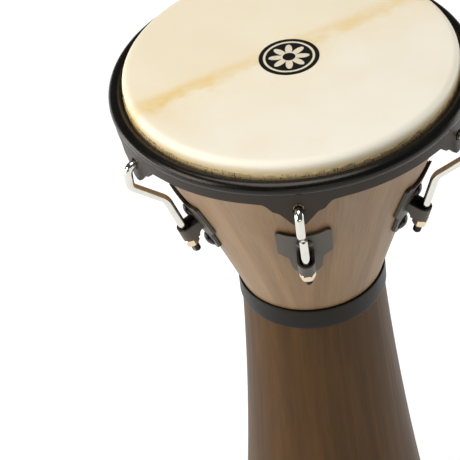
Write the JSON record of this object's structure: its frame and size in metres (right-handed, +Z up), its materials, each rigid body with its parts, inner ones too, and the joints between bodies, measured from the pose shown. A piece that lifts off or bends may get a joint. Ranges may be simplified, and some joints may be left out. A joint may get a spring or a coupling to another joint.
{
  "type": "djembe",
  "caption": "Goblet hand drum: wooden bowl on a flared pipe, goatskin head held by a steel rim that hooked rods pull down to tune it.",
  "frame": {"origin": "on the floor under the drum's axis, at the centre of the foot", "axes": "+Z up the drum's axis to the playing surface, -Y towards lug 1, +X to the right when lug 1 faces the viewer"},
  "size_m": [0.334, 0.3536, 0.6203],
  "materials": {
    "washed_wood": "satin grey-brown wash over vertical grain",
    "black_coat": "satin black powder coat",
    "black_rubber": "moulded black rubber",
    "goatskin": "dry shaved natural goatskin",
    "plain_steel": "zinc-plated steel",
    "badge_film": null,
    "chrome": "bright chrome plate"
  },
  "bodies": {
    "shell": {"bowl_shell": "washed_wood", "pipe_shell": "washed_wood", "waist_band": "black_coat", "foot_ring": "black_rubber", "skin_head": "goatskin", "head_badge": "badge_film", "side_plate_1": "black_coat", "side_plate_2": "black_coat", "side_plate_3": "black_coat", "side_plate_4": "black_coat", "side_plate_5": "black_coat", "side_plate_6": "black_coat", "plate_gasket_1": "black_rubber", "plate_gasket_2": "black_rubber", "plate_gasket_3": "black_rubber", "plate_gasket_4": "black_rubber", "plate_gasket_5": "black_rubber", "plate_gasket_6": "black_rubber", "plate_bolts": "black_coat", "inner_washers": "plain_steel", "inner_nuts": "plain_steel"},
    "rim": {"rim": "black_coat", "flesh_hoop": "plain_steel", "skin_tuck": "goatskin", "skin_collar": "goatskin"},
    "hook_1": {"tuning_hook_1": "chrome"},
    "nut_1": {"tuning_nut_1": "chrome"},
    "hook_2": {"tuning_hook_2": "chrome"},
    "nut_2": {"tuning_nut_2": "chrome"},
    "hook_3": {"tuning_hook_3": "chrome"},
    "nut_3": {"tuning_nut_3": "chrome"},
    "hook_4": {"tuning_hook_4": "chrome"},
    "nut_4": {"tuning_nut_4": "chrome"},
    "hook_5": {"tuning_hook_5": "chrome"},
    "nut_5": {"tuning_nut_5": "chrome"},
    "hook_6": {"tuning_hook_6": "chrome"},
    "nut_6": {"tuning_nut_6": "chrome"}
  },
  "joints": [
    {"name": "rim_slide", "type": "slide", "parent": "shell", "child": "rim", "axis": [0, 0, 1], "range_m": [-0.00387, 0.00596], "deforming": ["skin_collar"]},
    {"name": "hook_1_slide", "type": "slide", "parent": "shell", "child": "hook_1", "axis": [0, -0.2976, 0.9547], "range_m": [-0.00406, 0.00625]},
    {"name": "nut_1_turn", "type": "hinge", "parent": "shell", "child": "nut_1", "pos_m": [0, -0.12436, 0.47198], "axis": [0, -0.2976, 0.9547], "range_deg": [-1798.9, 1169]},
    {"name": "hook_2_slide", "type": "slide", "parent": "shell", "child": "hook_2", "axis": [0.2578, -0.1488, 0.9547], "range_m": [-0.00406, 0.00625]},
    {"name": "nut_2_turn", "type": "hinge", "parent": "shell", "child": "nut_2", "pos_m": [0.1077, -0.06218, 0.47198], "axis": [0.2578, -0.1488, 0.9547], "range_deg": [-1798.9, 1169]},
    {"name": "hook_3_slide", "type": "slide", "parent": "shell", "child": "hook_3", "axis": [0.2578, 0.1488, 0.9547], "range_m": [-0.00406, 0.00625]},
    {"name": "nut_3_turn", "type": "hinge", "parent": "shell", "child": "nut_3", "pos_m": [0.1077, 0.06218, 0.47198], "axis": [0.2578, 0.1488, 0.9547], "range_deg": [-1798.9, 1169]},
    {"name": "hook_4_slide", "type": "slide", "parent": "shell", "child": "hook_4", "axis": [0, 0.2976, 0.9547], "range_m": [-0.00406, 0.00625]},
    {"name": "nut_4_turn", "type": "hinge", "parent": "shell", "child": "nut_4", "pos_m": [0, 0.12436, 0.47198], "axis": [0, 0.2976, 0.9547], "range_deg": [-1798.9, 1169]},
    {"name": "hook_5_slide", "type": "slide", "parent": "shell", "child": "hook_5", "axis": [-0.2578, 0.1488, 0.9547], "range_m": [-0.00406, 0.00625]},
    {"name": "nut_5_turn", "type": "hinge", "parent": "shell", "child": "nut_5", "pos_m": [-0.1077, 0.06218, 0.47198], "axis": [-0.2578, 0.1488, 0.9547], "range_deg": [-1798.9, 1169]},
    {"name": "hook_6_slide", "type": "slide", "parent": "shell", "child": "hook_6", "axis": [-0.2578, -0.1488, 0.9547], "range_m": [-0.00406, 0.00625]},
    {"name": "nut_6_turn", "type": "hinge", "parent": "shell", "child": "nut_6", "pos_m": [-0.1077, -0.06218, 0.47198], "axis": [-0.2578, -0.1488, 0.9547], "range_deg": [-1798.9, 1169]}
  ],
  "couplings": [
    {"joint": "hook_1_slide", "follows": "rim_slide", "ratio": 1.0475},
    {"joint": "nut_1_turn", "follows": "rim_slide", "rad_per_m": -5265.2},
    {"joint": "hook_2_slide", "follows": "rim_slide", "ratio": 1.0475},
    {"joint": "nut_2_turn", "follows": "rim_slide", "rad_per_m": -5265.2},
    {"joint": "hook_3_slide", "follows": "rim_slide", "ratio": 1.0475},
    {"joint": "nut_3_turn", "follows": "rim_slide", "rad_per_m": -5265.2},
    {"joint": "hook_4_slide", "follows": "rim_slide", "ratio": 1.0475},
    {"joint": "nut_4_turn", "follows": "rim_slide", "rad_per_m": -5265.2},
    {"joint": "hook_5_slide", "follows": "rim_slide", "ratio": 1.0475},
    {"joint": "nut_5_turn", "follows": "rim_slide", "rad_per_m": -5265.2},
    {"joint": "hook_6_slide", "follows": "rim_slide", "ratio": 1.0475},
    {"joint": "nut_6_turn", "follows": "rim_slide", "rad_per_m": -5265.2}
  ]
}
